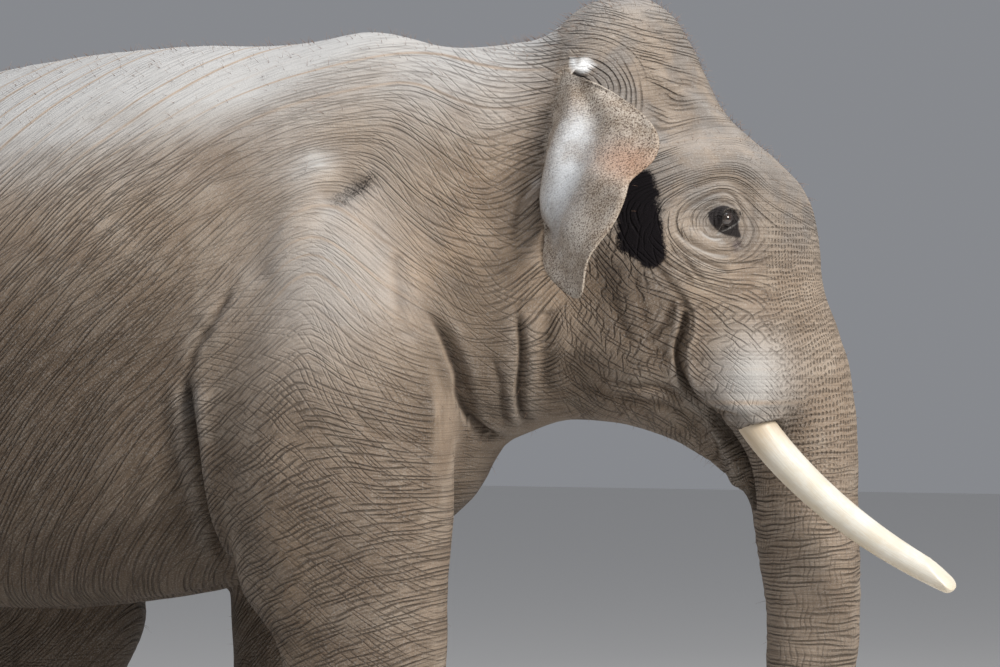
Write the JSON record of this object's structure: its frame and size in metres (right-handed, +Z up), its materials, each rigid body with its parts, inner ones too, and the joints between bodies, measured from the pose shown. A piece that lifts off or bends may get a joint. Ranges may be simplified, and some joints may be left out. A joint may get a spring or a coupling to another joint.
{
  "type": "bull asian elephant",
  "caption": "Life-size bull Asian elephant standing in mid-stride: head turned slightly left, trunk hanging, ears swung forward, one long tusk and one broken one.",
  "frame": {"origin": "on the floor, under the middle of the whole animal's box", "axes": "+X forwards, from tail to tusk; +Y to the animal's left; +Z up"},
  "size_m": [4.1608, 1.496, 2.9072],
  "materials": {
    "skin": "dry, deeply wrinkled hide, warm grey brown with dust and darker creases",
    "ear_skin": "thin hide, paler, pinkish and freckled towards the margin",
    "ivory": "smooth cream ivory, stained yellow below and brown at the root",
    "eye": "wet, dark brown",
    "nail": "worn horn",
    "hair": "coarse black-brown hair"
  },
  "bodies": {
    "root": {"ear_left": "ear_skin", "ear_right": "ear_skin", "eye_left": "eye", "eye_right": "eye", "forefoot_left": "skin", "forefoot_right": "skin", "foreleg_left": "skin", "foreleg_right": "skin", "head": "skin", "hindfoot_left": "skin", "hindfoot_right": "skin", "hindleg_left": "skin", "hindleg_right": "skin", "lower_jaw": "skin", "neck": "skin", "tail": "skin", "tail_tuft": "hair", "toenail_fore_left_1": "nail", "toenail_fore_left_2": "nail", "toenail_fore_left_3": "nail", "toenail_fore_left_4": "nail", "toenail_fore_left_5": "nail", "toenail_fore_right_1": "nail", "toenail_fore_right_2": "nail", "toenail_fore_right_3": "nail", "toenail_fore_right_4": "nail", "toenail_fore_right_5": "nail", "toenail_hind_left_1": "nail", "toenail_hind_left_2": "nail", "toenail_hind_left_3": "nail", "toenail_hind_left_4": "nail", "toenail_hind_right_1": "nail", "toenail_hind_right_2": "nail", "toenail_hind_right_3": "nail", "toenail_hind_right_4": "nail", "torso": "skin", "trunk_lower": "skin", "trunk_middle": "skin", "trunk_tip": "skin", "trunk_upper": "skin", "tusk_left": "ivory", "tusk_right": "ivory"}
  },
  "joints": []
}
